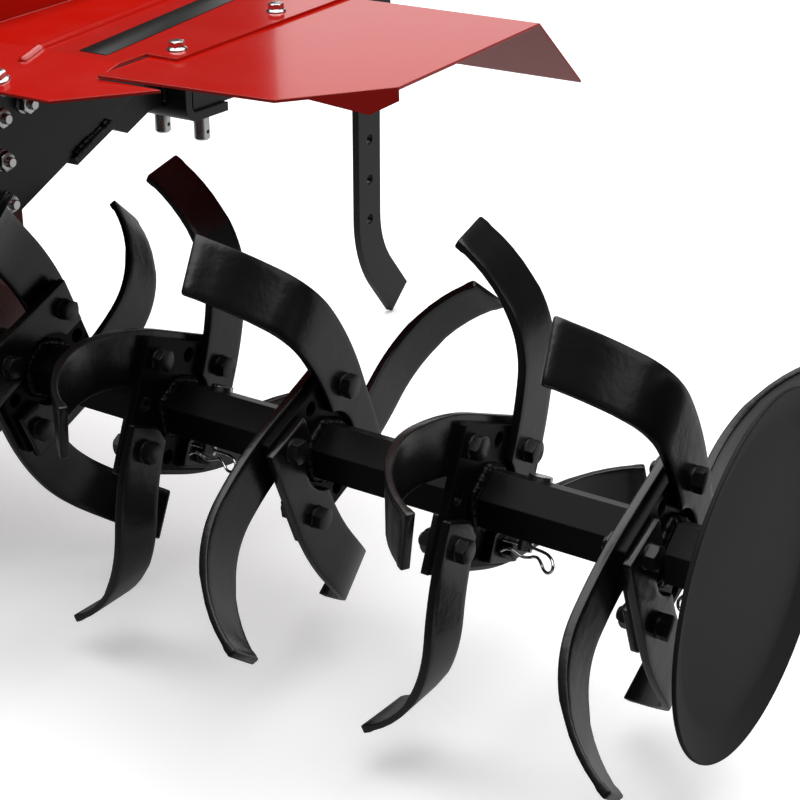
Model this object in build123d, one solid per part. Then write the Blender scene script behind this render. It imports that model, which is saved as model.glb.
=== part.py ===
from build123d import *
import math
import os

# Tilling unit of a walk-behind tractor, in millimetres.
# X points forward, Y to the operator's left, Z up.
# The origin is the middle of the face on the gear case that the engine bolts to.

# Rotor axle and its hexagon tubes
axle_drop = 290.0
tube_flats = 38.0
bore_flats = 29.0
spigot_clearance = 0.3
spigot_length = 40.0
tube_gap = 1.0
tube_start = 62.0
tube_past_plate = 8.0
disc_tube_wall = 4.0

# Tine plates, counted outwards from the gear case
first_plate = 120.0
plate_pitch = 130.0
plate_side = 96.0
plate_thickness = 6.0
plate_corner_radius = 3.0
plate_angles = (67.5, -67.5, -22.5, -67.5, -22.5)
tine_bolt_spacing = 66.0
bolt_hole_radius = 5.5
spare_hole_from_axle = 38.0
spare_holes = 4

# Tines: a sabre curve that leaves along a side of the plate, then a wide bend on a slanted line
tine_width = 40.0
tine_thickness = 6.0
tine_root_angle = 45.0
tine_root_behind_bolt = 18.0
tine_curve_before_bolt = 5.4
tine_curve_radius = 210.0
tine_end_angle = 74.0
tine_tip_allowance = 60.0
tine_bend_start = 70.0
tine_bend_slant = -21.5
tine_bend_radius = 97.0
tine_bend_angle = 61.0
tine_bend_spare = 10.0
tine_end_slant = 11.0
tine_notch_radius = 28.0

# Pins that lock one rotor section to the next
pin_radius = 5.0
pin_clearance = 0.05
pin_beyond_plate = 38.0
pin_grip = 27.0
pin_head_radius = 8.0
pin_head_height = 4.0
pin_tilt = -22.5
clip_hole_radius = 1.6
clip_hole_from_end = 3.5

# End discs
disc_radius = 117.0
disc_thickness = 3.0
disc_rim_radius = 96.0
disc_dish = 8.0

# Gear case
case_half_width = 40.0
case_hub_radius = 88.0
case_neck_half = 70.0
case_rim = 12.0
case_rim_half = 8.0
case_shoulder_drop = 62.0
boss_radius = 52.0
boss_reach = 60.0
journal_radius = 18.0
journal_clearance = 0.05
engine_flange_x = 170.0
engine_flange_y = 130.0
engine_flange_thickness = 14.0
engine_flange_corner = 12.0
engine_bolts_x = 146.0
engine_bolts_y = 104.0
engine_bolt_radius = 5.5
engine_spigot_radius = 35.0
engine_spigot_depth = 6.0

# Frame plates on both sides of the case
frame_thickness = 6.0
frame_front = 80.0
frame_front_height = 60.0
frame_foot_x = -63.0
frame_foot_above_axle = 94.0
frame_foot_half = 16.0
frame_tail_x = -235.0
frame_tail_rise = 77.0
frame_tail_height = 24.0
frame_shelf_width = 75.0
frame_shelf_rear = -165.0
frame_bolt_radius = 5.0
frame_bolt_rise = 11.0
frame_bolt_pitch = 34.0
frame_bolts = 3
brace_thickness = 7.0
brace_overhang = 3.0
brace_front_back = 61.0
brace_front_rise = 28.0
brace_rear_back = 109.0
brace_rear_rise = 49.0
bracket_half_width = 15.0
bracket_knee_x = -226.0
bracket_heel_x = -256.0
bracket_heel_rise = 13.0
bracket_height = 66.0

# Mudguards and their extensions
guard_drop = 35.0
guard_pitch = 2.5
guard_thickness = 2.0
guard_inner = 90.0
guard_outer = 269.0
guard_front = 0.0
guard_nose_start = 26.0
guard_nose_run = 57.0
guard_nose_drop = 15.0
guard_nose_outer = 296.0
guard_nose_corner = 231.0
guard_upstand = 25.0
guard_bead_y = 169.0
guard_bead_radius = 5.0
guard_bead_sink = 2.0
guard_bead_turn = 5.5
guard_bead_inset = 12.0
guard_bead_past_bend = 16.0
rear_bend_x = -200.0
rear_flap_run = 66.0
rear_flap_drop = 54.0
seam_overlap = 25.0
seam_clearance = 1.0
extension_outer = 431.0
extension_front = 50.0
extension_front_slant = 10.4
extension_cut_x = 60.5
extension_cut_y = 52.0
extension_lip_drop = 16.0
extension_lip_end = 9.0
extension_lip_start_share = 0.2
extension_lip_low_share = 0.75

# Hitch channel at the tail of the frame plates, with its two pins
hitch_x = -276.0
hitch_depth = 58.0
hitch_wall = 8.0
hitch_opening = 42.0
hitch_half_length = 40.0
hitch_base_drop = 176.0
hitch_bend_radius = 6.0
hitch_pin_spacing = 46.0
hitch_pin_radius = 7.25
hitch_pin_inset = 18.0
hitch_pin_below = 25.0
hitch_pin_above = 12.0
hitch_pin_chamfer = 1.5
cotter_hole_radius = 1.8
cotter_hole_rise = 8.0

# Drag bar and the arm that holds it
arm_clearance = 0.3
arm_tongue_half = 36.0
arm_tongue_past_hitch = 14.0
arm_half_width = 16.0
sleeve_x = -612.0
sleeve_wall = 8.0
sleeve_height = 80.0
bar_width = 40.0
bar_thickness = 8.0
bar_clearance = 0.3
bar_above_sleeve = 60.0
bar_bend_below_axle = 70.0
bar_bend_radius = 110.0
bar_bend_angle = 40.0
bar_toe_run = 50.0
bar_hole_radius = 5.5
bar_hole_pitch = 44.0
bar_holes = 7
bar_lowest_hole_below_axle = 72.0
bar_hole_in_use = 5
lock_bolt_radius = 5.0
lock_bolt_reach = 14.0
lock_bolt_head_radius = 9.0
lock_bolt_head_height = 7.0

bolt_from_axle = tine_bolt_spacing * math.sqrt(0.5)
guard_top = -guard_drop
guard_slope = math.tan(math.radians(guard_pitch))
extension_inner = guard_outer - seam_overlap
frame_foot = frame_foot_above_axle - axle_drop
brace_front = (frame_foot_x - brace_front_back, frame_foot + brace_front_rise)
brace_rear = (frame_foot_x - brace_rear_back, frame_foot + brace_rear_rise)
hitch_base = -hitch_base_drop
hitch_top = hitch_base + hitch_opening + 2 * hitch_wall
hitch_middle = (hitch_base + hitch_top) / 2
sleeve_top = hitch_middle + sleeve_height / 2
lowest_bar_hole = -axle_drop - bar_lowest_hole_below_axle


# Shared helpers
def save(shape, node):
    export_step(shape, f"parts/{node}.step")


def save_pair(shape, node):
    save(shape, f"{node}_left")
    save(mirror(shape, about=Plane.XZ), f"{node}_right")


def solids_of(shapes):
    return Compound(children=[solid for shape in shapes for solid in shape.solids()])


def axle_plane(y, angle=0.0):
    turn = math.radians(angle)
    return Plane(
        origin=(0, y, -axle_drop),
        x_dir=(math.sin(turn), 0, math.cos(turn)),
        z_dir=(0, 1, 0),
    )


def hexagon_bar(flats, start, end):
    outline = RegularPolygon(flats / 2, 6, major_radius=False, rotation=30)
    return axle_plane(start, pin_tilt) * extrude(outline, end - start)


def side_plate(points, y, thickness):
    outline = make_face(Polyline(*[(x, 0, z) for x, z in points], close=True))
    return Pos(0, y, 0) * extrude(outline, thickness, dir=(0, 1, 0))


def flat_sheet(points, z, thickness):
    outline = make_face(Polyline(*[(x, y, z) for x, y in points], close=True))
    return extrude(outline, thickness, dir=(0, 0, 1))


# Top of a mudguard behind its nose, rising to the rear
def guard_height(x):
    return guard_top + (guard_nose_start - x) * guard_slope


# One tine, bolted to the outer face of a plate and bent back over it
def shifted(point, angle, distance):
    turn = math.radians(angle)
    return (point[0] + distance * math.cos(turn), point[1] + distance * math.sin(turn))


def sabre_point(angle, offset):
    turn = math.radians(angle)
    root = math.radians(tine_root_angle)
    start = shifted((bolt_from_axle, 0), tine_root_angle, -tine_curve_before_bolt)
    r = tine_curve_radius * (math.sin(turn) - math.sin(root)) + offset * math.sin(turn)
    t = tine_curve_radius * (math.cos(root) - math.cos(turn)) - offset * math.cos(turn)
    return (start[0] + r, start[1] + t)


def make_tine():
    half = tine_width / 2
    middle = (tine_root_angle + tine_end_angle) / 2
    outer_start = sabre_point(tine_root_angle, half)
    inner_start = sabre_point(tine_root_angle, -half)
    outer_end = sabre_point(tine_end_angle, half)
    inner_end = sabre_point(tine_end_angle, -half)
    root_length = tine_root_behind_bolt - tine_curve_before_bolt
    outer_root = shifted(outer_start, tine_root_angle, -root_length)
    inner_root = shifted(inner_start, tine_root_angle, -root_length)
    outer_tip = shifted(outer_end, tine_end_angle, tine_tip_allowance)
    inner_tip = shifted(inner_end, tine_end_angle, tine_tip_allowance)
    edges = [
        Line(outer_root, outer_start),
        ThreePointArc(outer_start, sabre_point(middle, half), outer_end),
        Line(outer_end, outer_tip),
        Line(outer_tip, inner_tip),
        Line(inner_tip, inner_end),
        ThreePointArc(inner_end, sabre_point(middle, -half), inner_start),
        Line(inner_start, inner_root),
        Line(inner_root, outer_root),
    ]
    outline = make_face(edges) - Circle(tine_notch_radius)
    outline -= Pos(bolt_from_axle, 0) * Circle(bolt_hole_radius)
    reach = tine_bend_radius + tine_thickness
    blank = Pos(0, 0, -reach) * extrude(outline, 2 * reach)
    return blank & Rot(0, 0, tine_bend_slant) * (bent_band() - tine_end_block())


# Block that trims the bent end of a tine at a slant, its outer edge longer than its inner edge
def tine_end_block():
    turn = math.radians(tine_bend_angle)
    slant = math.radians(tine_end_slant)
    axis = math.radians(tine_bend_slant)
    lean = math.radians(tine_end_angle) - axis
    middle_radius = tine_bend_radius + tine_thickness / 2
    r, t = sabre_point(tine_end_angle, 0)
    along = r * math.cos(axis) + t * math.sin(axis)
    across = t * math.cos(axis) - r * math.sin(axis)
    tip_across = tine_bend_start + middle_radius * math.sin(turn)
    tip_along = along + (tip_across - across) / math.tan(lean)
    tip_height = (plate_thickness + tine_thickness) / 2 - middle_radius * (1 - math.cos(turn))
    end_line = Vector(
        math.cos(slant),
        math.sin(slant) * math.cos(turn),
        -math.sin(slant) * math.sin(turn),
    )
    trim = Plane(
        origin=(tip_along, tip_across, tip_height),
        x_dir=end_line,
        z_dir=(0, math.sin(turn), math.cos(turn)),
    )
    return trim * Pos(0, tine_width, 0) * Box(4 * tine_width, 2 * tine_width, 2 * tine_width)


def bent_band():
    turn = math.radians(tine_bend_angle + tine_bend_spare)
    half_turn = turn / 2
    low = plate_thickness / 2
    high = low + tine_thickness
    start = tine_bend_start
    centre = low - tine_bend_radius

    def around(radius, angle):
        return (start + radius * math.sin(angle), centre + radius * math.cos(angle))

    inside = tine_bend_radius
    outside = tine_bend_radius + tine_thickness
    flat_start = -bolt_from_axle - tine_width
    edges = [
        Line((flat_start, low), (start, low)),
        ThreePointArc((start, low), around(inside, half_turn), around(inside, turn)),
        Line(around(inside, turn), around(outside, turn)),
        ThreePointArc(around(outside, turn), around(outside, half_turn), (start, high)),
        Line((start, high), (flat_start, high)),
        Line((flat_start, high), (flat_start, low)),
    ]
    depth = bolt_from_axle + tine_curve_radius + tine_width
    section = Plane(origin=(-depth, 0, 0), x_dir=(0, 1, 0), z_dir=(1, 0, 0))
    return section * extrude(make_face(edges), 2 * depth)


def tines_on_plate(y, angle, outward_tine):
    inward_tine = mirror(outward_tine, about=Plane.XY)
    placed = []
    for quarter in range(4):
        tine = outward_tine if quarter % 2 == 0 else inward_tine
        placed.append(axle_plane(y, angle + 90 * quarter) * tine)
    return placed


# Rotor sections: a hexagon tube with its plates and the spigot for the next section
def plate_y(number):
    return first_plate + number * plate_pitch


def make_plate(y, angle):
    outline = RectangleRounded(plate_side, plate_side, plate_corner_radius)
    for spot in GridLocations(tine_bolt_spacing, tine_bolt_spacing, 2, 2):
        outline -= spot * Circle(bolt_hole_radius)
    for spot in PolarLocations(spare_hole_from_axle, spare_holes):
        outline -= spot * Circle(bolt_hole_radius)
    plate = Pos(0, 0, -plate_thickness / 2) * extrude(outline, plate_thickness)
    return axle_plane(y, angle + tine_root_angle) * plate


def pin_hole(y):
    reach = tube_flats
    turn = axle_plane(y, pin_tilt)
    spot = Plane(origin=turn.origin - turn.x_dir * reach, z_dir=turn.x_dir)
    return spot * extrude(Circle(pin_radius + pin_clearance), 2 * reach)


def section_end(last_plate):
    return plate_y(last_plate) + tube_past_plate


def pin_y(last_plate):
    return plate_y(last_plate) + pin_beyond_plate


def make_section(first, last, start):
    end = section_end(last)
    body = hexagon_bar(tube_flats, start, end)
    for number in range(first, last + 1):
        body += make_plate(plate_y(number), plate_angles[number])
    bore_end = plate_y(last) - plate_thickness
    body -= hexagon_bar(bore_flats, start, bore_end)
    body += hexagon_bar(bore_flats - 2 * spigot_clearance, bore_end, end + spigot_length)
    body -= pin_hole(pin_y(last))
    if first > 0:
        body -= pin_hole(pin_y(first - 1))
    return body


def make_joint_pin(y):
    turn = axle_plane(y, pin_tilt)
    low = Plane(origin=turn.origin - turn.x_dir * pin_grip, z_dir=turn.x_dir)
    head = Plane(origin=turn.origin + turn.x_dir * tube_flats / 2, z_dir=turn.x_dir)
    pin = low * extrude(Circle(pin_radius), pin_grip + tube_flats / 2)
    pin += head * extrude(Circle(pin_head_radius), pin_head_height)
    spot = turn.origin - turn.x_dir * (pin_grip - clip_hole_from_end)
    across = Plane(origin=(spot.X, y - pin_radius, spot.Z), z_dir=(0, 1, 0))
    return pin - across * extrude(Circle(clip_hole_radius), 2 * pin_radius)


def make_disc(last_plate):
    start = section_end(last_plate) + tube_gap
    end = start + spigot_length + disc_tube_wall
    tube = hexagon_bar(tube_flats, start, end)
    tube -= hexagon_bar(bore_flats, start, start + spigot_length)
    tube -= pin_hole(pin_y(last_plate))
    rim = disc_radius
    profile = [
        (0, 0),
        (disc_rim_radius, 0),
        (rim, disc_dish),
        (rim, disc_dish + disc_thickness),
        (disc_rim_radius, disc_thickness),
        (0, disc_thickness),
    ]
    section = make_face(Polyline(*[(r, 0, h) for r, h in profile], close=True))
    plate = revolve(section, Axis.Z)
    return tube + axle_plane(end) * plate


# name, first plate, last plate
sections = (
    ("inner", 0, 1),
    ("middle", 2, 3),
    ("outer", 4, 4),
)


def build_rotor():
    outward_tine = make_tine()
    start = tube_start
    pins = []
    for name, first, last in sections:
        save_pair(make_section(first, last, start), f"section_{name}")
        tines = []
        for number in range(first, last + 1):
            tines += tines_on_plate(plate_y(number), plate_angles[number], outward_tine)
        save_pair(solids_of(tines), f"tines_{name}")
        pins.append(make_joint_pin(pin_y(last)))
        start = section_end(last) + tube_gap
    save_pair(solids_of(pins), "joint_pins")
    save_pair(make_disc(sections[-1][2]), "disc")
    shaft_flats = bore_flats - 2 * spigot_clearance
    shaft_end = plate_y(sections[0][2]) - plate_thickness - spigot_clearance
    shaft = hexagon_bar(shaft_flats, -shaft_end, shaft_end)
    journal_half = boss_reach + tube_gap
    shaft += axle_plane(-journal_half) * extrude(Circle(journal_radius), 2 * journal_half)
    save(shaft, "output_shaft")


# Gear case: two cast halves that meet on the middle plane
def case_outline(margin):
    hub = Pos(0, -axle_drop) * Circle(case_hub_radius + margin)
    neck_top = margin - case_shoulder_drop
    neck_height = axle_drop + neck_top
    neck = Pos(0, neck_top - neck_height / 2) * Rectangle(2 * (case_neck_half + margin), neck_height)
    return hub + neck


def engine_flange():
    flange = RectangleRounded(engine_flange_x, engine_flange_y, engine_flange_corner)
    for spot in GridLocations(engine_bolts_x, engine_bolts_y, 2, 2):
        flange -= spot * Circle(engine_bolt_radius)
    return Pos(0, 0, -engine_flange_thickness) * extrude(flange, engine_flange_thickness)


def build_case():
    upright = Plane(origin=(0, 0, 0), x_dir=(1, 0, 0), z_dir=(0, -1, 0))
    body = upright * extrude(case_outline(0), -case_half_width)
    body += upright * extrude(case_outline(case_rim), -case_rim_half)
    body += axle_plane(0) * extrude(Circle(boss_radius), boss_reach)
    throat = extrude(Rectangle(2 * case_neck_half, 2 * case_half_width), case_shoulder_drop)
    crown = Pos(0, 0, -case_shoulder_drop) * throat + engine_flange()
    left_half = Pos(0, engine_flange_y / 2, 0) * Box(
        engine_flange_x, engine_flange_y, 2 * case_shoulder_drop
    )
    body += crown & left_half
    seat = extrude(Circle(engine_spigot_radius), engine_spigot_depth)
    body -= Pos(0, 0, -engine_spigot_depth) * seat
    body -= axle_plane(0) * extrude(Circle(journal_radius + journal_clearance), boss_reach)
    save_pair(body, "gear_case")


# Frame plates with a shelf that carries the mudguards
def build_frame():
    front_top = guard_height(frame_front) - guard_thickness
    nose_top = guard_top - guard_thickness
    rear_top = guard_height(frame_shelf_rear) - guard_thickness
    tail_low = frame_foot + frame_tail_rise
    outline = (
        (frame_front, front_top),
        (frame_front, front_top - frame_front_height),
        (frame_foot_x + 2 * frame_foot_half, frame_foot),
        (frame_foot_x, frame_foot),
        brace_front,
        brace_rear,
        (frame_tail_x, tail_low),
        (frame_tail_x, tail_low + frame_tail_height),
        (frame_shelf_rear, rear_top),
    )
    body = side_plate(outline, case_half_width, frame_thickness)
    shelf = (
        (frame_shelf_rear, rear_top),
        (guard_nose_start, nose_top),
        (guard_nose_start, nose_top - frame_thickness),
        (frame_shelf_rear, rear_top - frame_thickness),
    )
    body += side_plate(shelf, case_half_width, frame_shelf_width)
    bolt_x = frame_foot_x + frame_foot_half
    for number in range(frame_bolts):
        height = frame_foot + frame_bolt_rise + number * frame_bolt_pitch
        spot = Plane(origin=(bolt_x, case_half_width, height), z_dir=(0, 1, 0))
        body -= spot * extrude(Circle(frame_bolt_radius), frame_thickness)
    save_pair(body, "frame_plate")


# Brace under the rear edges of both frame plates, and the bracket from it to the hitch
def build_brace():
    run = brace_rear[0] - brace_front[0]
    rise = brace_rear[1] - brace_front[1]
    length = math.hypot(run, rise)
    under_x = -brace_thickness * rise / length
    under_z = brace_thickness * run / length
    brace_heel = (brace_rear[0] + under_x, brace_rear[1] + under_z)
    outline = (
        brace_front,
        brace_rear,
        brace_heel,
        (brace_front[0] + under_x, brace_front[1] + under_z),
    )
    brace_half = case_half_width + frame_thickness + brace_overhang
    save(side_plate(outline, -brace_half, 2 * brace_half), "frame_brace")
    bracket_top = hitch_base + bracket_height
    bracket = (
        brace_front,
        brace_rear,
        brace_heel,
        (bracket_knee_x, hitch_base),
        (bracket_heel_x, hitch_base + bracket_heel_rise),
        (hitch_x, hitch_base + bracket_heel_rise),
        (hitch_x, bracket_top),
        (brace_front[0], bracket_top),
    )
    body = side_plate(bracket, -bracket_half_width, 2 * bracket_half_width)
    save(body, "hitch_bracket")


# Sheet bent about Y: its top line is given as x, z points
def bent_sheet(top_line, start, end):
    under_line = [(x, z - guard_thickness) for x, z in reversed(top_line)]
    return side_plate([*top_line, *under_line], start, end - start)


def plan_cut(points):
    return flat_sheet(points, guard_top - 2 * rear_flap_drop, 4 * rear_flap_drop)


def build_guards():
    nose_front = guard_nose_start + guard_nose_run
    nose_slope = guard_nose_drop / guard_nose_run
    seam_room = 2 * guard_thickness + seam_clearance
    seam_front = guard_nose_start + seam_room / (nose_slope - guard_slope)
    rear_top = guard_height(rear_bend_x)
    nose_line = [
        (seam_front, guard_top - (seam_front - guard_nose_start) * nose_slope),
        (nose_front, guard_top - guard_nose_drop),
    ]
    top_line = [
        (rear_bend_x - rear_flap_run, rear_top - rear_flap_drop),
        (rear_bend_x, rear_top),
        (guard_nose_start, guard_top),
        nose_line[1],
    ]
    guard = bent_sheet(top_line, guard_inner, guard_outer)
    guard += bent_sheet(nose_line, guard_inner, guard_nose_outer)
    seam = extension_inner - guard_thickness
    guard -= plan_cut([
        (guard_front, seam),
        (seam_front, seam),
        (seam_front, guard_outer),
        (guard_front, guard_outer),
    ])
    guard -= plan_cut([
        (nose_front, guard_nose_corner),
        (nose_front, guard_nose_outer),
        (seam_front, guard_nose_outer),
    ])
    upstand = [(rear_bend_x, rear_top), (guard_front, guard_height(guard_front))]
    wall = [*upstand, *[(x, z + guard_upstand) for x, z in reversed(upstand)]]
    guard += side_plate(wall, guard_inner, guard_thickness)
    nose_angle = math.degrees(math.atan(nose_slope))
    bead_run = guard_nose_start - rear_bend_x - guard_bead_inset
    guard += bead_along(bead_run, -guard_pitch, 180 + guard_bead_turn)
    guard += bead_along(guard_bead_past_bend, nose_angle, guard_bead_turn)
    save_pair(guard, "guard")


# Low bead pressed into the sheet, from the nose bend along a heading in plan
def bead_along(length, tilt, heading):
    rod = Rot(0, 90, 0) * extrude(Circle(guard_bead_radius), length)
    rod += Sphere(guard_bead_radius)
    rod += Pos(length, 0, 0) * Sphere(guard_bead_radius)
    reach = length + 2 * guard_bead_radius
    above = Pos(length / 2, 0, guard_bead_radius) * Box(
        reach, 2 * guard_bead_radius, 2 * guard_bead_radius + guard_thickness
    )
    bead = above & Pos(0, 0, -guard_bead_sink) * rod
    return Pos(guard_nose_start, guard_bead_y, guard_top) * Rot(0, 0, heading) * Rot(0, tilt, 0) * bead


def build_extensions():
    def top(x):
        return guard_height(x) - guard_thickness

    top_line = [
        (rear_bend_x - rear_flap_run, top(rear_bend_x) - rear_flap_drop),
        (rear_bend_x, top(rear_bend_x)),
        (extension_front, top(extension_front)),
    ]
    sheet = bent_sheet(top_line, extension_inner, extension_outer)
    corner_x = extension_front - extension_front_slant
    cut_x = corner_x - extension_cut_x
    cut_start = Vector(corner_x, extension_outer - extension_cut_y, top(corner_x))
    cut_end = Vector(cut_x, extension_outer, top(cut_x))
    sheet -= plan_cut([
        (extension_front, extension_inner),
        (cut_start.X, cut_start.Y),
        (cut_end.X, cut_end.Y),
        (extension_front, extension_outer),
    ])
    edge = cut_end - cut_start
    lip_plane = Plane(origin=cut_start, x_dir=edge, z_dir=edge.cross(Vector(0, 0, 1)))
    lip = make_face(Polyline(
        (edge.length * extension_lip_start_share, 0),
        (edge.length, 0),
        (edge.length, -extension_lip_end),
        (edge.length * extension_lip_low_share, -extension_lip_drop),
        close=True,
    ))
    sheet += lip_plane * extrude(lip, -guard_thickness)
    save_pair(sheet, "extension")


# Hitch channel, open to the rear, with two upright pins
def build_hitch():
    rear = hitch_x - hitch_depth
    inside = hitch_x - hitch_wall
    outline = (
        (hitch_x, hitch_base),
        (hitch_x, hitch_top),
        (rear, hitch_top),
        (rear, hitch_top - hitch_wall),
        (inside, hitch_top - hitch_wall),
        (inside, hitch_base + hitch_wall),
        (rear, hitch_base + hitch_wall),
        (rear, hitch_base),
    )
    channel = side_plate(outline, -hitch_half_length, 2 * hitch_half_length)
    bends = channel.edges().filter_by(Axis.Y).sort_by(Axis.X)
    channel = fillet(bends[-2:], hitch_bend_radius + hitch_wall)
    bends = channel.edges().filter_by(Axis.Y).filter_by_position(Axis.X, inside, inside)
    channel = fillet(bends, hitch_bend_radius)
    pin_x = rear + hitch_pin_inset
    pins = []
    pin_low = hitch_base - hitch_pin_below
    pin_high = hitch_top + hitch_pin_above
    for side in (-1, 1):
        foot = Pos(pin_x, side * hitch_pin_spacing / 2, pin_low)
        pin = extrude(Circle(hitch_pin_radius), pin_high - pin_low)
        pin = chamfer(pin.edges().filter_by(GeomType.CIRCLE), hitch_pin_chamfer)
        across = Plane(origin=(0, -hitch_pin_radius, cotter_hole_rise), z_dir=(0, 1, 0))
        pin -= across * extrude(Circle(cotter_hole_radius), 2 * hitch_pin_radius)
        pins.append(foot * pin)
        channel -= foot * extrude(Circle(hitch_pin_radius + pin_clearance), pin_high - pin_low)
    save(channel, "hitch_channel")
    save(solids_of(pins), "hitch_pins")


# Arm with its tongue in the hitch and a sleeve for the drag bar
def build_arm():
    rear = hitch_x - hitch_depth
    low = hitch_base + hitch_wall + arm_clearance
    height = hitch_opening - 2 * arm_clearance
    sleeve_half = bar_width / 2 + bar_clearance + sleeve_wall
    tongue_front = hitch_x - hitch_wall - hitch_bend_radius - arm_clearance
    tongue_rear = rear - arm_tongue_past_hitch
    outline = [
        (tongue_front, -arm_tongue_half),
        (tongue_front, arm_tongue_half),
        (tongue_rear, arm_tongue_half),
        (tongue_rear - arm_tongue_half, arm_half_width),
        (sleeve_x, arm_half_width),
        (sleeve_x, -arm_half_width),
        (tongue_rear - arm_tongue_half, -arm_half_width),
        (tongue_rear, -arm_tongue_half),
    ]
    arm = flat_sheet(outline, low, height)
    for side in (-1, 1):
        foot = Pos(rear + hitch_pin_inset, side * hitch_pin_spacing / 2, low)
        arm -= foot * extrude(Circle(hitch_pin_radius + pin_clearance), height)
    sleeve_side = bar_thickness + 2 * bar_clearance + 2 * sleeve_wall
    arm += Pos(sleeve_x, 0, hitch_middle) * Box(2 * sleeve_half, sleeve_side, sleeve_height)
    slot_x = bar_width + 2 * bar_clearance
    slot_y = bar_thickness + 2 * bar_clearance
    arm -= Pos(sleeve_x, 0, hitch_middle) * Box(slot_x, slot_y, 2 * sleeve_height)
    bolt_height = lowest_bar_hole + bar_hole_in_use * bar_hole_pitch
    bolt_seat = Plane(origin=(sleeve_x, slot_y / 2, bolt_height), z_dir=(0, 1, 0))
    arm -= bolt_seat * extrude(Circle(lock_bolt_radius + pin_clearance), sleeve_wall + arm_half_width)
    save(arm, "drag_bar_arm")
    bolt = bolt_seat * extrude(Circle(lock_bolt_radius), sleeve_wall + lock_bolt_reach)
    head = bolt_seat.offset(sleeve_wall + lock_bolt_reach)
    bolt += head * extrude(RegularPolygon(lock_bolt_head_radius, 6), lock_bolt_head_height)
    save(bolt, "lock_bolt")


# Drag bar: flat bar with a row of holes, its toe curved to the rear
def build_drag_bar():
    half = bar_width / 2
    turn = math.radians(bar_bend_angle)
    top = sleeve_top + bar_above_sleeve
    bend = -axle_drop - bar_bend_below_axle
    centre_x = sleeve_x - bar_bend_radius

    def around(radius, angle):
        return (centre_x + radius * math.cos(angle), 0, bend - radius * math.sin(angle))

    def beyond(point):
        return (
            point[0] - bar_toe_run * math.sin(turn),
            0,
            point[2] - bar_toe_run * math.cos(turn),
        )

    front = bar_bend_radius + half
    back = bar_bend_radius - half
    edges = [
        Line((sleeve_x + half, 0, top), (sleeve_x + half, 0, bend)),
        ThreePointArc(around(front, 0), around(front, turn / 2), around(front, turn)),
        Line(around(front, turn), beyond(around(front, turn))),
        Line(beyond(around(front, turn)), beyond(around(back, turn))),
        Line(beyond(around(back, turn)), around(back, turn)),
        ThreePointArc(around(back, turn), around(back, turn / 2), around(back, 0)),
        Line((sleeve_x - half, 0, bend), (sleeve_x - half, 0, top)),
        Line((sleeve_x - half, 0, top), (sleeve_x + half, 0, top)),
    ]
    bar = extrude(make_face(edges), bar_thickness / 2, dir=(0, 1, 0), both=True)
    for number in range(bar_holes):
        height = lowest_bar_hole + number * bar_hole_pitch
        spot = Plane(origin=(sleeve_x, -bar_thickness, height), z_dir=(0, 1, 0))
        bar -= spot * extrude(Circle(bar_hole_radius), 2 * bar_thickness)
    save(bar, "drag_bar")


os.makedirs("parts", exist_ok=True)
build_rotor()
build_case()
build_frame()
build_brace()
build_guards()
build_extensions()
build_hitch()
build_arm()
build_drag_bar()
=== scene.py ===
import bmesh
import bpy
import math
import random
from mathutils import Matrix, Vector


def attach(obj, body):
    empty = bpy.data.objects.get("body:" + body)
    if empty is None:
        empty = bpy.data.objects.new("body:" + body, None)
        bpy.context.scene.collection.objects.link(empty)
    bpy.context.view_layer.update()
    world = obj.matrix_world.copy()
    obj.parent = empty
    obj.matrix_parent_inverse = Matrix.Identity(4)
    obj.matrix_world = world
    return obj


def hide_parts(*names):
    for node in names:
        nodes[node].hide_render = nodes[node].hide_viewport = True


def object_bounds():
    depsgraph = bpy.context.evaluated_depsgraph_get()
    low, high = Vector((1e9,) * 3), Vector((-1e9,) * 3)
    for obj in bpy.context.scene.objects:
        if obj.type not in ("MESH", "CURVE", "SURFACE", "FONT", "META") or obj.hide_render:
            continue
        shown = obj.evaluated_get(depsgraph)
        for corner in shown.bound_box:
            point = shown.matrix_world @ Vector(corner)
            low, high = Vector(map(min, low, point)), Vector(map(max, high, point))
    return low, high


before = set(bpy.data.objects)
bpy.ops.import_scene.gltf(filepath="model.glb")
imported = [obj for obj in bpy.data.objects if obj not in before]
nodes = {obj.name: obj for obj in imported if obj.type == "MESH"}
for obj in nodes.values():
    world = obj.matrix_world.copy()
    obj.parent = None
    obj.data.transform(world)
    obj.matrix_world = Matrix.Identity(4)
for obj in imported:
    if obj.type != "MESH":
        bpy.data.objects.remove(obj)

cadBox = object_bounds()
mm = 0.001
axleHeight = -290 * mm
plateYs = [(120 + 130 * number) * mm for number in range(5)]
plateTurns = (67.5, -67.5, -22.5, -67.5, -22.5)  # degrees from straight up, one for each plate
plateHalf = 3 * mm
tubeHalf = 19 * mm
tubeTurn = -22.5  # a flat of the hexagon tube looks this way
sides = (("left", 1), ("right", -1))
guardBendX = 26 * mm  # the guards slope down ahead of this line and rise behind it
guardBendHeight = -35 * mm
guardPitch = math.radians(2.5)
noseSlope = math.atan(15 / 57)
print("frame loaded:", len(nodes), "nodes")


# shader groups shared by the finishes
def newGroup(name, inputs, outputs):
    group = bpy.data.node_groups.new(name, "ShaderNodeTree")
    for label, kind, value in inputs:
        socket = group.interface.new_socket(label, in_out="INPUT", socket_type=kind)
        socket.default_value = value
    for label, kind in outputs:
        group.interface.new_socket(label, in_out="OUTPUT", socket_type=kind)
    return group, group.nodes.new("NodeGroupInput"), group.nodes.new("NodeGroupOutput")


def math2(tree, operation, first, second):
    node = tree.nodes.new("ShaderNodeMath")
    node.operation = operation
    for socket, value in zip(node.inputs, (first, second)):
        if isinstance(value, (int, float)):
            socket.default_value = value
        else:
            tree.links.new(value, socket)
    return node.outputs[0]


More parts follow.
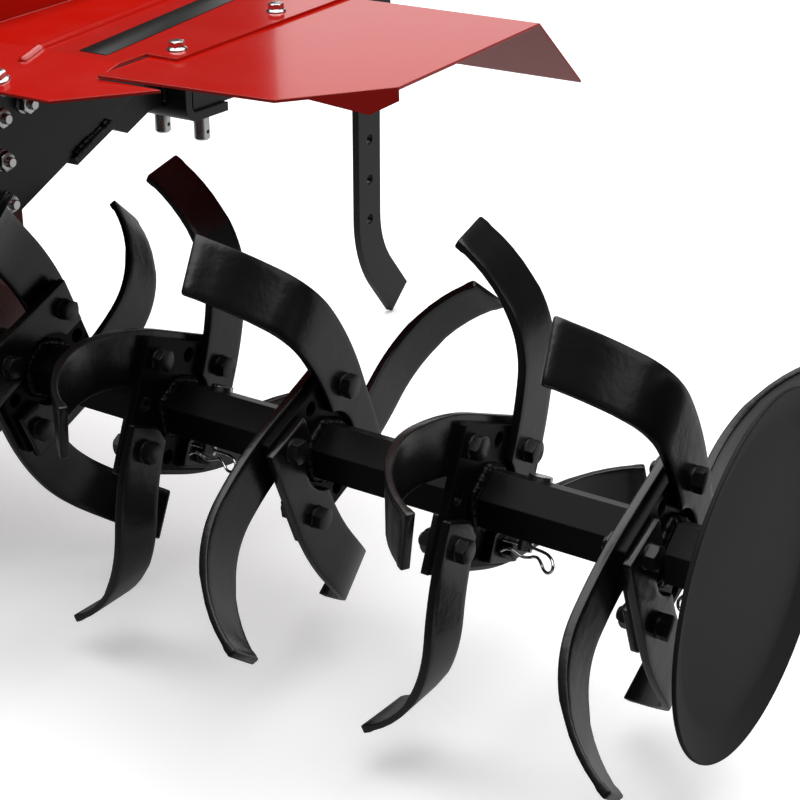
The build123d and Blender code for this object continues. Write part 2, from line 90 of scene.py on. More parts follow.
def ramp(tree, value, low, high):
    node = tree.nodes.new("ShaderNodeMapRange")
    node.interpolation_type = "SMOOTHSTEP"
    tree.links.new(value, node.inputs["Value"])
    node.inputs["From Min"].default_value = low
    node.inputs["From Max"].default_value = high
    return node.outputs["Result"]


def noise(tree, scale, detail=3.0, roughness=0.5, stretch=None):
    place = tree.nodes.new("ShaderNodeTexCoord")
    cloud = tree.nodes.new("ShaderNodeTexNoise")
    cloud.inputs["Detail"].default_value = detail
    cloud.inputs["Roughness"].default_value = roughness
    if isinstance(scale, (int, float)):
        cloud.inputs["Scale"].default_value = scale
    else:
        tree.links.new(scale, cloud.inputs["Scale"])
    source = place.outputs["Object"]
    if stretch:
        mapping = tree.nodes.new("ShaderNodeMapping")
        mapping.inputs["Scale"].default_value = stretch
        tree.links.new(source, mapping.inputs["Vector"])
        source = mapping.outputs["Vector"]
    tree.links.new(source, cloud.inputs["Vector"])
    return cloud.outputs["Fac"]


# noise values are scale, detail and roughness, ranges are where an effect starts and is full
edgeEffect = {
    "samples": 4, "turned": (0.01, 0.22), "chipNoise": (160.0, 4.0, 0.65), "chipRange": (0.5, 0.72),
}
skinEffect = {"peel": (2.0, 0.45), "tone": (4.0, 0.55), "dentNoise": (48.0, 3.0, 0.5)}  # scales are inputs
dustEffect = {"upward": (0.2, 1.0), "driftNoise": (22.0, 6.0, 0.62), "driftRange": (0.38, 0.75), "matt": 0.4}
drawnEffect = {"streak": (3.0, 0.6), "stretch": (1.0, 0.15, 1.0), "bloomNoise": (90.0, 5.0, 0.6)}


def makeSoftEdge():
    group, given, result = newGroup(
        "softEdge",
        [("Radius", "NodeSocketFloat", 0.001), ("Chips", "NodeSocketFloat", 0.5)],
        [("Normal", "NodeSocketVector"), ("Edge", "NodeSocketFloat"), ("Worn", "NodeSocketFloat")],
    )
    bevel = group.nodes.new("ShaderNodeBevel")
    bevel.samples = edgeEffect["samples"]
    group.links.new(given.outputs["Radius"], bevel.inputs["Radius"])
    flat = group.nodes.new("ShaderNodeNewGeometry")
    dot = group.nodes.new("ShaderNodeVectorMath")
    dot.operation = "DOT_PRODUCT"
    group.links.new(bevel.outputs["Normal"], dot.inputs[0])
    group.links.new(flat.outputs["Normal"], dot.inputs[1])
    # Edge marks where the rounded normal turns away from the face; it drives a painted highlight along the
    # edges and, with the chip noise, the chips
    turned = math2(group, "SUBTRACT", 1.0, dot.outputs["Value"])
    edge = ramp(group, turned, *edgeEffect["turned"])
    chips = ramp(group, noise(group, *edgeEffect["chipNoise"]), *edgeEffect["chipRange"])
    worn = math2(group, "MULTIPLY", math2(group, "MULTIPLY", edge, chips), given.outputs["Chips"])
    group.links.new(bevel.outputs["Normal"], result.inputs["Normal"])
    group.links.new(edge, result.inputs["Edge"])
    group.links.new(worn, result.inputs["Worn"])
    return group


def makePaintSkin():
    group, given, result = newGroup(
        "paintSkin",
        [
            ("Grain", "NodeSocketFloat", 420.0), ("Patches", "NodeSocketFloat", 14.0),
            ("Dents", "NodeSocketFloat", 0.0),
        ],
        [("Height", "NodeSocketFloat"), ("Tone", "NodeSocketFloat")],
    )
    peel = noise(group, given.outputs["Grain"], *skinEffect["peel"])
    tone = noise(group, given.outputs["Patches"], *skinEffect["tone"])
    dents = math2(group, "MULTIPLY", noise(group, *skinEffect["dentNoise"]), given.outputs["Dents"])
    group.links.new(math2(group, "ADD", peel, dents), result.inputs["Height"])
    group.links.new(tone, result.inputs["Tone"])
    return group


def makeDustVeil():
    group, given, result = newGroup(
        "dustVeil",
        [("Amount", "NodeSocketFloat", 0.1)],
        [("Dust", "NodeSocketFloat")],
    )
    flat = group.nodes.new("ShaderNodeNewGeometry")
    split = group.nodes.new("ShaderNodeSeparateXYZ")
    group.links.new(flat.outputs["Normal"], split.inputs[0])
    upward = ramp(group, split.outputs["Z"], *dustEffect["upward"])
    drift = ramp(group, noise(group, *dustEffect["driftNoise"]), *dustEffect["driftRange"])
    dust = math2(group, "MULTIPLY", math2(group, "MULTIPLY", upward, drift), given.outputs["Amount"])
    group.links.new(dust, result.inputs["Dust"])
    return group


def makeDrawnMetal():
    group, given, result = newGroup(
        "drawnMetal",
        [("Fineness", "NodeSocketFloat", 260.0)],
        [("Height", "NodeSocketFloat"), ("Bloom", "NodeSocketFloat")],
    )
    streak = noise(group, given.outputs["Fineness"], *drawnEffect["streak"], drawnEffect["stretch"])
    bloom = noise(group, *drawnEffect["bloomNoise"])
    group.links.new(streak, result.inputs["Height"])
    group.links.new(bloom, result.inputs["Bloom"])
    return group


softEdge = makeSoftEdge()
paintSkin = makePaintSkin()
dustVeil = makeDustVeil()
drawnMetal = makeDrawnMetal()
print("shader groups built")


# finishes
def placeGroup(tree, group, **values):
    node = tree.nodes.new("ShaderNodeGroup")
    node.node_tree = group
    for label, value in values.items():
        node.inputs[label].default_value = value
    return node


def blend(tree, factor, first, second):
    node = tree.nodes.new("ShaderNodeMix")
    node.data_type = "RGBA"
    tree.links.new(factor, node.inputs["Factor"])
    for socket, value in ((node.inputs[6], first), (node.inputs[7], second)):
        if isinstance(value, tuple):
            socket.default_value = (*value, 1.0)
        else:
            tree.links.new(value, socket)
    return node.outputs[2]


def spread(tree, value, low, high):
    node = tree.nodes.new("ShaderNodeMapRange")
    tree.links.new(value, node.inputs["Value"])
    node.inputs["To Min"].default_value = low
    node.inputs["To Max"].default_value = high
    return node.outputs["Result"]


def startMaterial(name):
    material = bpy.data.materials.new(name)
    material.use_nodes = True
    return material, material.node_tree, material.node_tree.nodes["Principled BSDF"]


def bumped(tree, shader, height, normal, strength, depth):
    bump = tree.nodes.new("ShaderNodeBump")
    bump.inputs["Strength"].default_value = strength
    bump.inputs["Distance"].default_value = depth
    tree.links.new(height, bump.inputs["Height"])
    tree.links.new(normal, bump.inputs["Normal"])
    tree.links.new(bump.outputs["Normal"], shader.inputs["Normal"])


def makePaint(name, look):
    material, tree, shader = startMaterial(name)
    skin = placeGroup(tree, paintSkin, Grain=look["grain"], Patches=look["patches"], Dents=look["dents"])
    edge = placeGroup(tree, softEdge, Radius=look["edgeRadius"], Chips=look["chips"])
    veil = placeGroup(tree, dustVeil, Amount=look["dust"])
    body = blend(tree, skin.outputs["Tone"], look["dark"], look["light"])
    # painted highlight: the edge mask lightens the colour along every edge towards the edge colour
    paintedHighlight = math2(tree, "MULTIPLY", edge.outputs["Edge"], look["edgeHighlightShare"])
    highlightedBody = blend(tree, paintedHighlight, body, look["edgeHighlightColor"])
    worn = blend(tree, edge.outputs["Worn"], highlightedBody, look["wornColor"])
    dusted = blend(tree, veil.outputs["Dust"], worn, look["dustColor"])
    tree.links.new(dusted, shader.inputs["Base Color"])
    matt = spread(tree, skin.outputs["Tone"], *look["gloss"])
    matt = math2(tree, "ADD", matt, math2(tree, "MULTIPLY", veil.outputs["Dust"], dustEffect["matt"]))
    tree.links.new(matt, shader.inputs["Roughness"])
    shader.inputs["Specular IOR Level"].default_value = look["shine"]
    shader.inputs["Coat Weight"].default_value = look["coat"]
    shader.inputs["Coat Roughness"].default_value = look["coatRoughness"]
    bumped(tree, shader, skin.outputs["Height"], edge.outputs["Normal"], look["bump"], look["bumpDepth"])
    return material


def makeMetal(name, look):
    material, tree, shader = startMaterial(name)
    drawn = placeGroup(tree, drawnMetal, Fineness=look["fineness"])
    edge = placeGroup(tree, softEdge, Radius=look["edgeRadius"], Chips=0.0)
    body = blend(tree, drawn.outputs["Bloom"], look["dark"], look["light"])
    tree.links.new(body, shader.inputs["Base Color"])
    tree.links.new(spread(tree, drawn.outputs["Bloom"], *look["gloss"]), shader.inputs["Roughness"])
    shader.inputs["Metallic"].default_value = 1.0
    bumped(tree, shader, drawn.outputs["Height"], edge.outputs["Normal"], look["bump"], look["bumpDepth"])
    return material


# edge colours: a painted highlight along the edges, the colour of chipped paint, and dust
blackEdges = dict(
    edgeHighlightColor=(0.03, 0.03, 0.0305), wornColor=(0.11, 0.107, 0.104), dustColor=(0.12, 0.115, 0.11),
)
redEdges = dict(
    edgeHighlightColor=(0.7, 0.05, 0.02), wornColor=(0.42, 0.04, 0.02), dustColor=(0.5, 0.36, 0.33),
)
paints = {
    "guardRed": dict(
        dark=(0.47, 0.0062, 0.0022), light=(0.54, 0.0078, 0.003), gloss=(0.1, 0.15), shine=0.48,
        coat=0.2, coatRoughness=0.04, grain=260.0, patches=7.0, dents=0.6, bump=0.025, bumpDepth=0.0006,
        edgeRadius=0.0011, edgeHighlightShare=0.5, chips=0.1, dust=0.02, **redEdges,
    ),
    "caseRed": dict(
        dark=(0.1, 0.004, 0.003), light=(0.15, 0.006, 0.005), gloss=(0.3, 0.46), shine=0.5,
        coat=0.15, coatRoughness=0.2, grain=520.0, patches=18.0, dents=0.5, bump=0.3, bumpDepth=0.0009,
        edgeRadius=0.0025, edgeHighlightShare=0.25, chips=0.25, dust=0.05, **redEdges,
    ),
    "frameBlack": dict(
        dark=(0.004, 0.004, 0.0042), light=(0.0068, 0.0068, 0.007), gloss=(0.28, 0.4), shine=0.42,
        coat=0.0, coatRoughness=0.1, grain=480.0, patches=16.0, dents=2.0, bump=0.1, bumpDepth=0.0006,
        edgeRadius=0.0011, edgeHighlightShare=0.6, chips=0.25, dust=0.03, **blackEdges,
    ),
    "rotorBlack": dict(
        dark=(0.0028, 0.0028, 0.0029), light=(0.005, 0.005, 0.0051), gloss=(0.26, 0.38), shine=0.08,
        coat=0.0, coatRoughness=0.1, grain=380.0, patches=22.0, dents=3.0, bump=0.14, bumpDepth=0.0006,
        edgeRadius=0.0012, edgeHighlightShare=0.6, chips=0.25, dust=0.03, **blackEdges,
    ),
    "tineBlack": dict(
        dark=(0.0036, 0.0036, 0.0037), light=(0.0062, 0.0062, 0.0063), gloss=(0.2, 0.3), shine=0.5,
        coat=0.0, coatRoughness=0.1, grain=300.0, patches=12.0, dents=6.0, bump=0.12, bumpDepth=0.0006,
        edgeRadius=0.0012, edgeHighlightShare=0.6, chips=0.25, dust=0.02, **blackEdges,
    ),
    "discBlack": dict(
        dark=(0.021, 0.021, 0.0212), light=(0.026, 0.026, 0.0263), gloss=(0.4, 0.5), shine=0.06,
        coat=0.0, coatRoughness=0.1, grain=700.0, patches=9.0, dents=2.0, bump=0.05, bumpDepth=0.0004,
        edgeRadius=0.0008, edgeHighlightShare=0.5, chips=0.1, dust=0.02, **blackEdges,
    ),
    "boltBlack": dict(
        dark=(0.004, 0.004, 0.0041), light=(0.009, 0.009, 0.0091), gloss=(0.26, 0.4), shine=0.5,
        coat=0.0, coatRoughness=0.1, grain=900.0, patches=60.0, dents=0.0, bump=0.12, bumpDepth=0.0003,
        edgeRadius=0.0006, edgeHighlightShare=0.5, chips=0.4, dust=0.03, **blackEdges,
    ),
    "weldBlack": dict(
        dark=(0.002, 0.002, 0.0021), light=(0.005, 0.005, 0.0051), gloss=(0.22, 0.36), shine=0.18,
        coat=0.0, coatRoughness=0.1, grain=620.0, patches=80.0, dents=1.0, bump=0.35, bumpDepth=0.0005,
        edgeRadius=0.0006, edgeHighlightShare=0.1, chips=0.2, dust=0.03, **blackEdges,
    ),
    "stripBlack": dict(
        dark=(0.004, 0.004, 0.0042), light=(0.006, 0.006, 0.0062), gloss=(0.3, 0.38), shine=0.2,
        coat=0.0, coatRoughness=0.1, grain=900.0, patches=20.0, dents=0.5, bump=0.04, bumpDepth=0.0003,
        edgeRadius=0.0003, edgeHighlightShare=0.2, chips=0.0, dust=0.02, **blackEdges,
    ),
}
metals = {
    "zincBright": dict(
        dark=(0.5, 0.51, 0.51), light=(0.78, 0.78, 0.76), gloss=(0.16, 0.34), fineness=900.0,
        bump=0.12, bumpDepth=0.0003, edgeRadius=0.0005,
    ),
    # the clip wire finish is a brighter copy of the zinc: painted light that makes the clips in the tube's
    # shade look lit
    "clipWirePaintedBright": dict(
        dark=(0.8, 0.8, 0.79), light=(0.95, 0.95, 0.94), gloss=(0.1, 0.2), fineness=900.0,
        bump=0.06, bumpDepth=0.0002, edgeRadius=0.0003,
    ),
    "shaftSteel": dict(
        dark=(0.3, 0.29, 0.28), light=(0.46, 0.45, 0.44), gloss=(0.25, 0.42), fineness=500.0,
        bump=0.15, bumpDepth=0.0004, edgeRadius=0.0006,
    ),
}
finish = {name: makePaint(name, look) for name, look in paints.items()}
finish.update({name: makeMetal(name, look) for name, look in metals.items()})
print("finishes built:", len(finish))

nodeFinish = {
    "gear_case": "caseRed", "frame_plate": "frameBlack", "frame_brace": "frameBlack",
    "hitch_bracket": "frameBlack", "hitch_channel": "frameBlack", "hitch_pins": "zincBright",
    "drag_bar": "frameBlack", "lock_bolt": "zincBright", "guard": "guardRed", "extension": "guardRed",
    "section": "rotorBlack", "tines": "tineBlack", "disc": "discBlack", "joint_pins": "zincBright",
    "output_shaft": "shaftSteel",
}
for nodeName, node in nodes.items():
    start = max((word for word in nodeFinish if nodeName.startswith(word)), key=len)
    node.data.materials.clear()
    node.data.materials.append(finish[nodeFinish[start]])
print("finishes put on the solids")


# mesh helpers
def addLoft(bm, rings, closed=False):
    rows = [[bm.verts.new(point) for point in ring] for ring in rings]
    count = len(rows[0])
    pairs = list(zip(rows, rows[1:]))
    if closed:
        pairs.append((rows[-1], rows[0]))
    for lower, upper in pairs:
        for step in range(count):
            after = (step + 1) % count
            bm.faces.new((lower[step], lower[after], upper[after], upper[step]))
    if not closed:
        bm.faces.new(list(reversed(rows[0])))
        bm.faces.new(rows[-1])


def makePiece(bm, name, finishName, body, sharp=40.0):
    bmesh.ops.recalc_face_normals(bm, faces=bm.faces)
    mesh = bpy.data.meshes.new(name)
    bm.to_mesh(mesh)
    bm.free()
    mesh.materials.append(finish[finishName])
    mesh.shade_smooth()
    mesh.set_sharp_from_angle(angle=math.radians(sharp))
    piece = bpy.data.objects.new(name, mesh)
    bpy.context.scene.collection.objects.link(piece)
    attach(piece, body)
    return piece


def pointing(spot, direction, turn=0.0):
    aim = Vector(direction).to_track_quat("Z", "Y").to_matrix().to_4x4()
    return Matrix.Translation(Vector(spot)) @ aim @ Matrix.Rotation(math.radians(turn), 4, "Z")


def circle(place, radius, height, count):
    steps = [2 * math.pi * step / count for step in range(count)]
    return [place @ Vector((radius * math.cos(a), radius * math.sin(a), height)) for a in steps]


def addTurned(bm, place, profile, count):
    addLoft(bm, [circle(place, radius, height, count) for radius, height in profile])


roundPoints = 36  # points round a bolt, a washer or the tube
hexForm = {"rimShare": 0.475, "chamfer": 30.0}  # radius of the flat top against the flats, degrees
threadForm = {"pitch": 1.5 * mm, "rootShare": 0.88, "endShare": 0.82, "chamfer": 0.8 * mm, "points": 20}


def addWasher(bm, place, form):
    rim = form["washerRadius"]
    thick = form["washerThickness"]
    addTurned(bm, place, [(rim, 0), (rim, 0.7 * thick), (rim - form["washerBreak"], thick)], roundPoints)


def hexReach(angle, flats):
    return flats / 2 / math.cos((angle + math.pi / 6) % (math.pi / 3) - math.pi / 6)


def addHexagon(bm, place, flats, base, height, chamferBoth=False):
    steps = [2 * math.pi * step / roundPoints for step in range(roundPoints)]
    rim = hexForm["rimShare"] * flats
    slope = math.tan(math.radians(hexForm["chamfer"]))

    def ring(level):  # level takes how far the chamfer has fallen at a point
        points = []
        for angle in steps:
            reach = hexReach(angle, flats)
            drop = (reach - rim) * slope
            points.append(place @ Vector((reach * math.cos(angle), reach * math.sin(angle), level(drop))))
        return points

    rings = []
    if chamferBoth:
        rings.append(circle(place, rim, base, roundPoints))
        rings.append(ring(lambda drop: base + drop))
    else:
        rings.append(ring(lambda drop: base))
    rings.append(ring(lambda drop: base + height - drop))
    rings.append(circle(place, rim, base + height, roundPoints))
    addLoft(bm, rings)


def addThreadEnd(bm, place, radius, base, length):
    pitch = threadForm["pitch"]
    root = threadForm["rootShare"] * radius
    profile = [(radius, base)]
    for number in range(int(length / pitch) - 1):
        level = base + (number + 0.25) * pitch
        profile += [(radius, level), (root, level + 0.4 * pitch), (radius, level + 0.8 * pitch)]
    top = base + length
    profile += [(radius, top - threadForm["chamfer"]), (threadForm["endShare"] * radius, top)]
    addTurned(bm, place, profile, threadForm["points"])


def axlePoint(turn, r, t, y):
    a = math.radians(turn)
    return Vector((r * math.sin(a) + t * math.cos(a), y, axleHeight + r * math.cos(a) - t * math.sin(a)))


def onGuard(x, y, lift=0.0):
    ahead = x - guardBendX
    slope = math.tan(noseSlope if ahead > 0 else guardPitch)
    lean = math.atan(slope)
    normal = Vector((math.sin(lean), 0, math.cos(lean)))
    return Vector((x, y, guardBendHeight - ahead * slope)) + lift * normal, normal


# tines, with rounded edges and a smooth slanted bend
tineForm = {
    "width": 40 * mm, "thickness": 6 * mm, "edgeRound": 0.8 * mm, "faceAcross": 8,
    "boltFromAxle": 46.67 * mm, "rootTurn": 45.0, "shortRoot": 18 * mm, "longRoot": 77 * mm,
    "rootStep": 1.45 * mm, "rootBreak": 0.7 * mm, "notchRadius": 28 * mm,
    "curveBeforeBolt": 5.4 * mm, "curveRadius": 210 * mm, "curveSteps": 22, "endTurn": 74.0,
    "bendStart": 70 * mm, "bendSlant": -21.5, "bendRadius": 100 * mm, "bendTurn": 61.0, "endSlant": 11.0,
    # the blade past its curve: shares of the way to the tip, and how much thinner each face is there
    "bladeShares": (0.2, 0.4, 0.6, 0.75, 0.88), "bladeThinner": 0.7 * mm,
    # the tip itself: distance from its end, and how much thinner each face is there
    "tipRound": 1.0 * mm,
    "tipRows": (
        (3.0 * mm, 0.0), (1.2 * mm, 0.0), (0.9 * mm, 0.0), (0.6 * mm, 0.0), (0.3 * mm, 0.25 * mm),
        (0.0, 0.7 * mm),
    ),
}
# for each plate, the quarters whose tine has a root that reaches a second bolt
longRoots = ((0, 1, 2, 3), (0, 1, 3), (0, 1, 2, 3), (0, 1, 3), (0, 1, 2, 3))
tineGroups = {"inner": (0, 1), "middle": (2, 3), "outer": (4,)}  # plates of each rotor section


def tineStations(form, rootReach):
    root = math.radians(form["rootTurn"])
    start = Vector((
        form["boltFromAxle"] - form["curveBeforeBolt"] * math.cos(root),
        -form["curveBeforeBolt"] * math.sin(root),
    ))
    stations = []  # middle point, direction, along-root distance from the bolt
    rootLength = rootReach - form["curveBeforeBolt"]
    rootSteps = round(rootLength / form["rootStep"])
    for step in range(rootSteps):
        back = rootLength * (1 - step / rootSteps)
        middle = start - back * Vector((math.cos(root), math.sin(root)))
        stations.append((middle, root, -form["curveBeforeBolt"] - back))
    for step in range(form["curveSteps"] + 1):
        turn = root + (math.radians(form["endTurn"]) - root) * step / form["curveSteps"]
        middle = start + form["curveRadius"] * Vector((
            math.sin(turn) - math.sin(root), math.cos(root) - math.cos(turn),
        ))
        stations.append((middle, turn, None))
    return stations


def addTine(bm, form, turn, plateY, face, side, rootReach):
    slant = math.radians(form["bendSlant"])
    across = Vector((-math.sin(slant), math.cos(slant)))
    along = Vector((math.cos(slant), math.sin(slant)))
    half = form["width"] / 2
    thick = form["thickness"] / 2
    lift = plateHalf + thick
    endGain = math.tan(math.radians(form["endSlant"])) / form["bendRadius"]

    def onBlade(flat, depth):
        u = flat.dot(across)
        v = flat.dot(along)
        bent = math.asin(min(max((u - form["bendStart"]) / form["bendRadius"], 0.0), 1.0))
        level = lift - form["bendRadius"] * (1 - math.cos(bent)) + depth * math.cos(bent)
        u += depth * math.sin(bent)
        spot = across * u + along * v
        return axlePoint(turn, spot.x, spot.y, side * (plateY + face * level))

    def section(offsets, inset):
        low, high = offsets
        corner = form["edgeRound"]
        deep = thick - inset
        points = []
        faceSteps = form["faceAcross"]
        for step in range(faceSteps + 1):
            points.append((low + corner + (high - low - 2 * corner) * step / faceSteps, deep))
        for angle in (60, 30):
            a = math.radians(angle)
            points.append((high - corner + corner * math.cos(a), deep - corner + corner * math.sin(a)))
        points += [(high, deep - corner), (high, corner - deep)]
        for angle in (30, 60):
            a = math.radians(angle)
            points.append((high - corner + corner * math.cos(a), corner - deep - corner * math.sin(a)))
        for step in range(faceSteps + 1):
            points.append((high - corner - (high - low - 2 * corner) * step / faceSteps, -deep))
        for angle in (60, 30):
            a = math.radians(angle)
            points.append((low + corner - corner * math.cos(a), corner - deep - corner * math.sin(a)))
        points += [(low, corner - deep), (low, deep - corner)]
        for angle in (30, 60):
            a = math.radians(angle)
            points.append((low + corner - corner * math.cos(a), deep - corner + corner * math.sin(a)))
        return points

    boltDown = form["boltFromAxle"] * math.sqrt(0.5)

    def innerEdge(fromBolt):  # the root is hollowed out round the tube
        room = form["notchRadius"] ** 2 - (boltDown + fromBolt) ** 2
        return max(-half, math.sqrt(room) - boltDown) if room > 0 else -half

    rings = []
    stations = tineStations(form, rootReach)
    for middle, heading, fromBolt in stations:
        low = -half if fromBolt is None else innerEdge(fromBolt)
        outward = Vector((math.sin(heading), -math.cos(heading)))
        rings.append([onBlade(middle + outward * o, d) for o, d in section((low, half), 0.0)])
    middle, heading, fromBolt = stations[0]
    small = form["rootBreak"]
    back = middle - small * Vector((math.cos(heading), math.sin(heading)))
    outward = Vector((math.sin(heading), -math.cos(heading)))
    rootOffsets = (innerEdge(fromBolt) + small, half - small)
    rings.insert(0, [onBlade(back + outward * o, d) for o, d in section(rootOffsets, small)])
    middle, heading, _ = stations[-1]
    forward = Vector((math.cos(heading), math.sin(heading)))
    outward = Vector((math.sin(heading), -math.cos(heading)))
    ends = [(share, 0.0, 0.0, form["bladeThinner"]) for share in form["bladeShares"]]
    for short, thinner in form["tipRows"]:
        gap = max(form["tipRound"] - short, 0.0)
        narrow = form["tipRound"] - math.sqrt(form["tipRound"] ** 2 - gap ** 2)
        ends.append((1.0, short, narrow, thinner))
    for share, short, narrow, thinner in ends:
        ring = []
        for offset, depth in section((narrow - half, half - narrow), thinner):
            base = middle + outward * offset
            bendEnd = math.radians(form["bendTurn"]) + offset * endGain
            reach = form["bendStart"] + form["bendRadius"] * math.sin(bendEnd)
            run = (reach - base.dot(across)) / forward.dot(across)
            ring.append(onBlade(base + forward * (run * share - short), depth))
        rings.append(ring)
    addLoft(bm, rings)


def buildTines(form):
    for sideName, side in sides:
        for groupName, numbers in tineGroups.items():
            bm = bmesh.new()
            for number in numbers:
                for quarter in range(4):
                    face = 1 if quarter % 2 == 0 else -1
                    turn = plateTurns[number] + 90 * quarter
                    rootReach = form["longRoot" if quarter in longRoots[number] else "shortRoot"]
                    addTine(bm, form, turn, plateYs[number], face, side, rootReach)
            name = f"tine_set_{groupName}_{sideName}"
            piece = makePiece(bm, name, "tineBlack", "rotor", 50)
            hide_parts(f"tines_{groupName}_{sideName}")


buildTines(tineForm)
print("tines built")


# end discs, dished outward round their rims, on a short hexagon tube
discForm = {
    "tubeStart": 649 * mm, "back": 693 * mm, "flatRadii": (22 * mm, 40 * mm, 60 * mm, 78 * mm),
    "rimRadius": 117 * mm, "creaseRadius": 96 * mm, "dish": 8 * mm, "thickness": 3 * mm, "crease": 3 * mm,
    "rimRound": 1.1 * mm, "tubeRound": 0.6 * mm, "around": 160,
}


def discFace(form, height, way):
    slope = math.atan2(form["dish"], form["rimRadius"] - form["creaseRadius"])
    soft = form["crease"]
    middle = form["creaseRadius"]
    face = [(radius, height) for radius in form["flatRadii"]]
    for share in (-1.0, -0.6, -0.2, 0.2, 0.6, 1.0):
        bow = soft * (1 + share) ** 2 / 4  # parabola between the flat and the cone
        face.append((middle + share * soft, height + math.tan(slope) * bow))
    rim = form["rimRadius"] - form["rimRound"]
    face.append((rim, height + math.tan(slope) * (rim - middle)))
    return face if way > 0 else face[::-1]


def buildDiscs(form):
    for sideName, side in sides:
        bm = bmesh.new()
        place = pointing((0, side * form["back"], axleHeight), (0, side, 0))
        half = form["thickness"] / 2
        rimSlope = form["dish"] / (form["rimRadius"] - form["creaseRadius"])
        rimMiddle = form["dish"] + half - form["rimRound"] * rimSlope
        profile = discFace(form, 0.0, 1)
        for turn in (-60, -30, 0, 30, 60):
            a = math.radians(turn)
            profile.append((
                form["rimRadius"] - form["rimRound"] * (1 - math.cos(a)), rimMiddle + half * math.sin(a),
            ))
        profile += discFace(form, form["thickness"], -1)
        addTurned(bm, place, profile, form["around"])
        small = form["tubeRound"]
        length = form["back"] - form["tubeStart"] + half
        steps = [2 * math.pi * step / roundPoints for step in range(roundPoints)]
        rings = []
        for inset, level in ((small, 0.0), (0.0, small), (0.0, length)):
            ring = []
            for a in steps:
                reach = hexReach(a, 2 * tubeHalf - 2 * inset)
                y = side * (form["tubeStart"] + level)
                ring.append(axlePoint(tubeTurn, reach * math.cos(a), reach * math.sin(a), y))
            rings.append(ring)
        addLoft(bm, rings)
        piece = makePiece(bm, f"end_disc_{sideName}", "discBlack", "rotor", 35)
        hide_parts(f"disc_{sideName}")


buildDiscs(discForm)
print("end discs built")


# bolts that hold the tines: heads outward, nuts inward
tineBolt = {
    "flats": 15 * mm, "headHeight": 6.8 * mm, "nutHeight": 7.5 * mm, "threadRadius": 4.7 * mm,
    "threadPast": 3.2 * mm, "washerRadius": 8.4 * mm, "washerThickness": 1.3 * mm, "washerBreak": 0.4 * mm,
}


def buildTineBolts(form):
    rng = random.Random(7)
    for sideName, side in sides:
        bm = bmesh.new()
        for number, plateY in enumerate(plateYs):
            for quarter in range(4):
                turn = plateTurns[number] + 90 * quarter
                shared = (quarter + 1) % 4 in longRoots[number]  # the next tine's root lies under it too
                outer = plateY + plateHalf + (tineForm["thickness"] if quarter % 2 == 0 or shared else 0)
                inner = plateY - plateHalf - (tineForm["thickness"] if quarter % 2 or shared else 0)
                spot = axlePoint(turn, tineForm["boltFromAxle"], 0, 0)
                out = pointing((spot.x, side * outer, spot.z), (0, side, 0), rng.uniform(0, 60))
                back = pointing((spot.x, side * inner, spot.z), (0, -side, 0), rng.uniform(0, 60))
                addWasher(bm, out, form)
                addHexagon(bm, out, form["flats"], form["washerThickness"], form["headHeight"])
                addHexagon(bm, back, form["flats"], 0, form["nutHeight"], True)
                addThreadEnd(bm, back, form["threadRadius"], form["nutHeight"], form["threadPast"])
        makePiece(bm, f"tine_bolts_{sideName}", "boltBlack", "rotor")


buildTineBolts(tineBolt)
print("tine bolts built")


# weld beads where the hexagon tube passes through a plate, and on the frame
weldForm = {
    "bead": 3.6 * mm, "around": 10, "ripple": 2.6 * mm, "ripplePart": 0.035,
    "lump": 11 * mm, "lumpPart": 0.14, "lumpBeat": 0.37 / mm, "ragged": 0.52, "carry": 0.86, "endPart": 0.4,
    # the ring round the tube: points, reach at a corner against a flat, distance off the tube and the plate
    "tubeSteps": 168, "cornerReach": 1.09, "offTube": 0.6 * mm, "offPlate": 1.2 * mm,
}


def addWeld(bm, path, normals, form, rng, closed):
    rings = []
    count = len(path)
    length = 0.0
    drift = 0.0
    lumpStart = rng.uniform(0, 6)
    for step, spot in enumerate(path):
        before = path[step - 1] if closed or step else spot
        after = path[(step + 1) % count] if closed or step < count - 1 else spot
        heading = (after - before).normalized()
        if step:
            length += (spot - path[step - 1]).length
        drift = form["carry"] * drift + (1 - form["carry"]) * rng.uniform(-1, 1)
        wave = math.sin(2 * math.pi * length / form["ripple"])
        lump = math.sin(2 * math.pi * length / form["lump"] + lumpStart)
        lump *= math.sin(form["lumpBeat"] * length)
        swell = form["ripplePart"] * wave + form["lumpPart"] * lump + form["ragged"] * drift
        radius = form["bead"] * (1 + swell)
        if not closed and step in (0, count - 1):
            radius *= form["endPart"]
        up = normals[step].normalized()
        aside = heading.cross(up).normalized()
        ring = []
        for part in range(form["around"]):
            a = 2 * math.pi * part / form["around"]
            ring.append(spot + radius * (math.cos(a) * up + math.sin(a) * aside))
        rings.append(ring)
    addLoft(bm, rings, closed=closed)


def buildTubeWelds(form):
    rng = random.Random(21)
    cornerReach = form["cornerReach"] * tubeHalf
    for sideName, side in sides:
        bm = bmesh.new()
        for plateY in plateYs:
            for face in (-1, 1):
                path = []
                normals = []
                for step in range(form["tubeSteps"]):
                    angle = 2 * math.pi * step / form["tubeSteps"]
                    reach = min(hexReach(angle, 2 * tubeHalf), cornerReach) + form["offTube"]
                    spot = axlePoint(tubeTurn, reach * math.cos(angle), reach * math.sin(angle), 0)
                    spot.y = side * (plateY + face * (plateHalf + form["offPlate"]))
                    path.append(spot)
                    normals.append(Vector((spot.x, 0, spot.z - axleHeight)))
                addWeld(bm, path, normals, form, rng, True)
        makePiece(bm, f"tube_welds_{sideName}", "weldBlack", "rotor", 60)


# lines in x and z on the outer face of each frame plate and on the sides of the hitch bracket
seamForm = {
    "brace": ((-127 * mm, -166.4 * mm), (-169 * mm, -148.0 * mm)), "braceY": 46.4 * mm,
    "braceNormal": (0.4, 0, 0.92), "hitch": ((-275.4 * mm, -159 * mm), (-275.4 * mm, -134 * mm)),
    "hitchY": 15.4 * mm, "hitchNormal": (1, 0, 0), "steps": 70,
}


